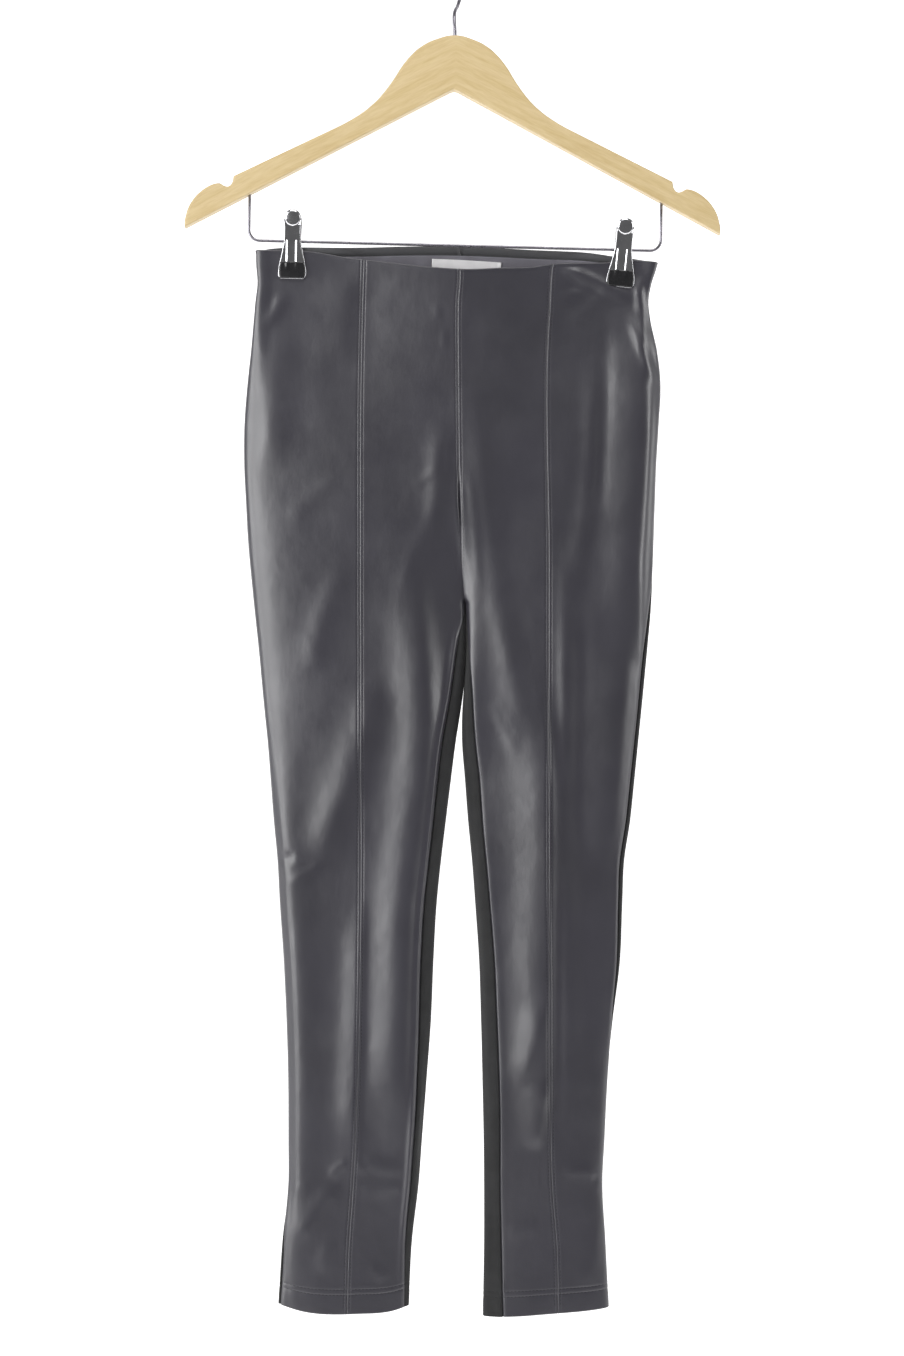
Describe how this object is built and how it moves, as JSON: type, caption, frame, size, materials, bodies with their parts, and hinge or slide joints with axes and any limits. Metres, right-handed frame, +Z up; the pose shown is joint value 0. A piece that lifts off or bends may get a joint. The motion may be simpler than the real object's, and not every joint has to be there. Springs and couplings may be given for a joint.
{
  "type": "leggings on a clip hanger",
  "caption": "Slim leggings with coated fronts and knit backs, an elastic back waist and plain hems, held by the waist from a wooden clip hanger with a wire hook.",
  "frame": {"origin": "inside of the hook's crown, where a rail carries the hanger", "axes": "+Z up; -Y the front of the garment; +X the wearer's left, which is the viewer's right"},
  "size_m": [0.4451, 0.0444, 1.1311],
  "materials": {
    "coated_cloth": "satin",
    "knit": "matte",
    "label": "satin",
    "wood": "satin",
    "steel": "polished",
    "pad": "gloss"
  },
  "bodies": {
    "root": {"right_front_inner_hip": "coated_cloth", "right_front_inner_thigh": "coated_cloth", "right_front_inner_calf": "coated_cloth", "right_front_inner_ankle": "coated_cloth", "right_front_outer_hip": "coated_cloth", "right_front_outer_thigh": "coated_cloth", "right_front_outer_calf": "coated_cloth", "right_front_outer_ankle": "coated_cloth", "right_back_hip": "knit", "right_back_thigh": "knit", "right_back_calf": "knit", "right_back_ankle": "knit", "left_front_inner_hip": "coated_cloth", "left_front_inner_thigh": "coated_cloth", "left_front_inner_calf": "coated_cloth", "left_front_inner_ankle": "coated_cloth", "left_front_outer_hip": "coated_cloth", "left_front_outer_thigh": "coated_cloth", "left_front_outer_calf": "coated_cloth", "left_front_outer_ankle": "coated_cloth", "left_back_hip": "knit", "left_back_thigh": "knit", "left_back_calf": "knit", "left_back_ankle": "knit", "back_facing": "knit", "waist_label": "label", "hanger_body": "wood", "hook": "steel", "trouser_bar": "steel", "right_clip_front_jaw": "steel", "right_clip_front_pad": "pad", "right_clip_back_jaw": "steel", "right_clip_back_pad": "pad", "right_clip_spring": "steel", "left_clip_front_jaw": "steel", "left_clip_front_pad": "pad", "left_clip_back_jaw": "steel", "left_clip_back_pad": "pad", "left_clip_spring": "steel"}
  },
  "joints": []
}
